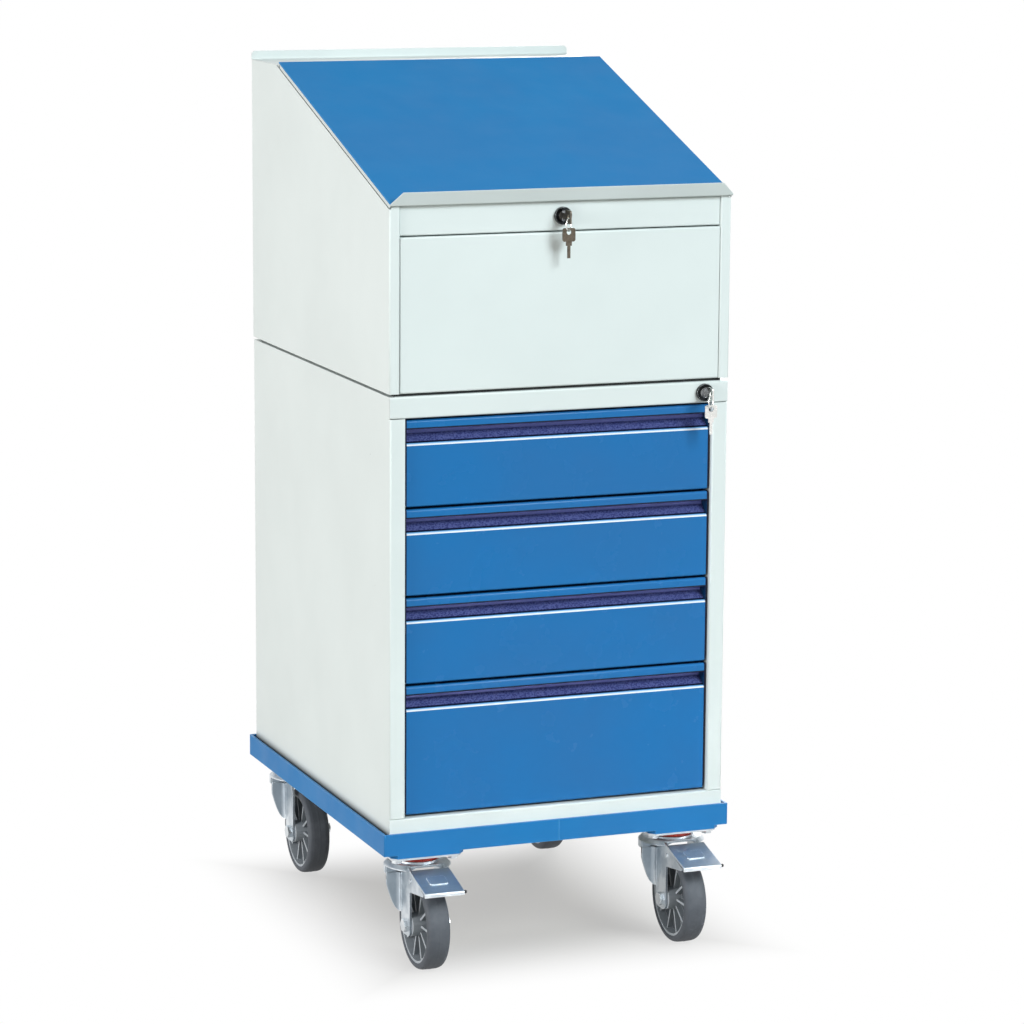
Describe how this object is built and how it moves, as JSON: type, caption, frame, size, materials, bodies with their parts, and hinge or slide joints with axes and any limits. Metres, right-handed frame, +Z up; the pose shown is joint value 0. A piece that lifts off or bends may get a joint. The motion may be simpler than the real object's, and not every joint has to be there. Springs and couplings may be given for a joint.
{
  "type": "mobile workshop desk",
  "caption": "Mobile workshop desk: sloped lift-up lid over a storage compartment, lockable drawer cabinet with finger-recess fronts, on a castor base with brakes.",
  "frame": {"origin": "on the floor at the centre of the outline seen from above", "axes": "+Z up, -Y out of the drawer fronts towards the user, +X to the right of a user facing the desk's front seen in the picture"},
  "size_m": [0.504, 0.666, 1.2039],
  "materials": {
    "body_paint": "satin light grey powder coat",
    "base_paint": "satin blue powder coat",
    "drawer_paint": "satin blue powder coat",
    "writing_paint": "satin blue powder coat",
    "zinc_steel": "bright zinc plate",
    "red_seal": "matt red",
    "hub_plastic": "matt grey",
    "grey_tyre": "matt grey rubber",
    "black_spacer": "matt black",
    "lock_chrome": "polished",
    "key_steel": "satin nickel"
  },
  "bodies": {
    "frame": {"base_frame": "base_paint", "castor_top_plates": "zinc_steel", "castor_king_pins": "zinc_steel", "castor_seals": "red_seal", "castor_bolts": "zinc_steel", "cabinet_left_side": "body_paint", "cabinet_right_side": "body_paint", "cabinet_top": "body_paint", "cabinet_floor": "body_paint", "cabinet_back": "body_paint", "cabinet_runners": "zinc_steel", "desk_spacer": "black_spacer", "desk_left_side": "body_paint", "desk_right_side": "body_paint", "desk_floor": "body_paint", "desk_back": "body_paint", "desk_front_panel": "body_paint", "desk_lock_rail": "body_paint", "desk_top_shelf": "body_paint", "lid_hinge_fixed": "zinc_steel", "lock_housings": "lock_chrome"},
    "castor_front_left": {"castor_fork_front_left": "zinc_steel", "castor_axle_front_left": "zinc_steel"},
    "wheel_front_left": {"wheel_hub_front_left": "hub_plastic", "tyre_front_left": "grey_tyre"},
    "castor_front_right": {"castor_fork_front_right": "zinc_steel", "castor_axle_front_right": "zinc_steel"},
    "wheel_front_right": {"wheel_hub_front_right": "hub_plastic", "tyre_front_right": "grey_tyre"},
    "castor_back_left": {"castor_fork_back_left": "zinc_steel", "castor_axle_back_left": "zinc_steel"},
    "wheel_back_left": {"wheel_hub_back_left": "hub_plastic", "tyre_back_left": "grey_tyre"},
    "castor_back_right": {"castor_fork_back_right": "zinc_steel", "castor_axle_back_right": "zinc_steel"},
    "wheel_back_right": {"wheel_hub_back_right": "hub_plastic", "tyre_back_right": "grey_tyre"},
    "pedal_front_left": {"brake_pedal_front_left": "zinc_steel"},
    "pedal_front_right": {"brake_pedal_front_right": "zinc_steel"},
    "drawer_1": {"drawer_1_front": "drawer_paint", "drawer_1_box": "body_paint"},
    "drawer_2": {"drawer_2_front": "drawer_paint", "drawer_2_box": "body_paint"},
    "drawer_3": {"drawer_3_front": "drawer_paint", "drawer_3_box": "body_paint"},
    "drawer_4": {"drawer_4_front": "drawer_paint", "drawer_4_box": "body_paint"},
    "lid": {"lid_tray": "body_paint", "writing_surface": "writing_paint", "lid_hinge_moving": "zinc_steel"},
    "desk_lock": {"desk_lock_plug": "lock_chrome", "desk_key": "key_steel"},
    "desk_ring": {"desk_key_ring": "key_steel"},
    "desk_spare": {"desk_spare_key": "key_steel"},
    "cabinet_lock": {"cabinet_lock_plug": "lock_chrome", "cabinet_key": "key_steel"},
    "cabinet_ring": {"cabinet_key_ring": "key_steel"},
    "cabinet_spare": {"cabinet_spare_key": "key_steel"}
  },
  "joints": [
    {"name": "swivel_front_left", "type": "hinge", "parent": "frame", "child": "castor_front_left", "pos_m": [-0.188, -0.224, 0.145], "axis": [0, 0, 1], "continuous": true},
    {"name": "wheel_spin_front_left", "type": "hinge", "parent": "castor_front_left", "child": "wheel_front_left", "pos_m": [-0.188, -0.254, 0.0625], "axis": [1, 0, 0], "continuous": true},
    {"name": "swivel_front_right", "type": "hinge", "parent": "frame", "child": "castor_front_right", "pos_m": [0.188, -0.224, 0.145], "axis": [0, 0, 1], "continuous": true},
    {"name": "wheel_spin_front_right", "type": "hinge", "parent": "castor_front_right", "child": "wheel_front_right", "pos_m": [0.188, -0.254, 0.0625], "axis": [1, 0, 0], "continuous": true},
    {"name": "swivel_back_left", "type": "hinge", "parent": "frame", "child": "castor_back_left", "pos_m": [-0.188, 0.286, 0.145], "axis": [0, 0, 1], "continuous": true},
    {"name": "wheel_spin_back_left", "type": "hinge", "parent": "castor_back_left", "child": "wheel_back_left", "pos_m": [-0.188, 0.256, 0.0625], "axis": [1, 0, 0], "continuous": true},
    {"name": "swivel_back_right", "type": "hinge", "parent": "frame", "child": "castor_back_right", "pos_m": [0.188, 0.286, 0.145], "axis": [0, 0, 1], "continuous": true},
    {"name": "wheel_spin_back_right", "type": "hinge", "parent": "castor_back_right", "child": "wheel_back_right", "pos_m": [0.188, 0.256, 0.0625], "axis": [1, 0, 0], "continuous": true},
    {"name": "brake_front_left", "type": "hinge", "parent": "castor_front_left", "child": "pedal_front_left", "pos_m": [-0.188, -0.267, 0.127], "axis": [1, 0, 0], "range_deg": [0, 5]},
    {"name": "brake_front_right", "type": "hinge", "parent": "castor_front_right", "child": "pedal_front_right", "pos_m": [0.188, -0.267, 0.127], "axis": [1, 0, 0], "range_deg": [0, 5]},
    {"name": "drawer_1_slide", "type": "slide", "parent": "frame", "child": "drawer_1", "axis": [0, -1, 0], "range_m": [0, 0.43]},
    {"name": "drawer_2_slide", "type": "slide", "parent": "frame", "child": "drawer_2", "axis": [0, -1, 0], "range_m": [0, 0.43]},
    {"name": "drawer_3_slide", "type": "slide", "parent": "frame", "child": "drawer_3", "axis": [0, -1, 0], "range_m": [0, 0.43]},
    {"name": "drawer_4_slide", "type": "slide", "parent": "frame", "child": "drawer_4", "axis": [0, -1, 0], "range_m": [0, 0.43]},
    {"name": "lid_open", "type": "hinge", "parent": "frame", "child": "lid", "pos_m": [0, 0.2055, 1.18973], "axis": [-1, 0, 0], "range_deg": [0, 80]},
    {"name": "desk_lock_turn", "type": "hinge", "parent": "frame", "child": "desk_lock", "pos_m": [0, -0.2645, 1.01837], "axis": [0, -1, 0], "range_deg": [0, 90]},
    {"name": "desk_ring_swing", "type": "hinge", "parent": "desk_lock", "child": "desk_ring", "pos_m": [0, -0.2879, 1.01697], "axis": [0.7071, 0.7071, 0], "range_deg": [-60, 10]},
    {"name": "desk_spare_swing", "type": "hinge", "parent": "desk_ring", "child": "desk_spare", "pos_m": [0, -0.2879, 0.99997], "axis": [0.7071, 0.7071, 0], "range_deg": [-25, 15]},
    {"name": "cabinet_lock_turn", "type": "hinge", "parent": "frame", "child": "cabinet_lock", "pos_m": [0.208, -0.2675, 0.772], "axis": [0, 1, 0], "range_deg": [0, 90]},
    {"name": "cabinet_ring_swing", "type": "hinge", "parent": "cabinet_lock", "child": "cabinet_ring", "pos_m": [0.208, -0.2909, 0.7706], "axis": [0.7071, 0.7071, 0], "range_deg": [-60, 10]},
    {"name": "cabinet_spare_swing", "type": "hinge", "parent": "cabinet_ring", "child": "cabinet_spare", "pos_m": [0.208, -0.2909, 0.7536], "axis": [0.7071, 0.7071, 0], "range_deg": [-25, 15]}
  ]
}
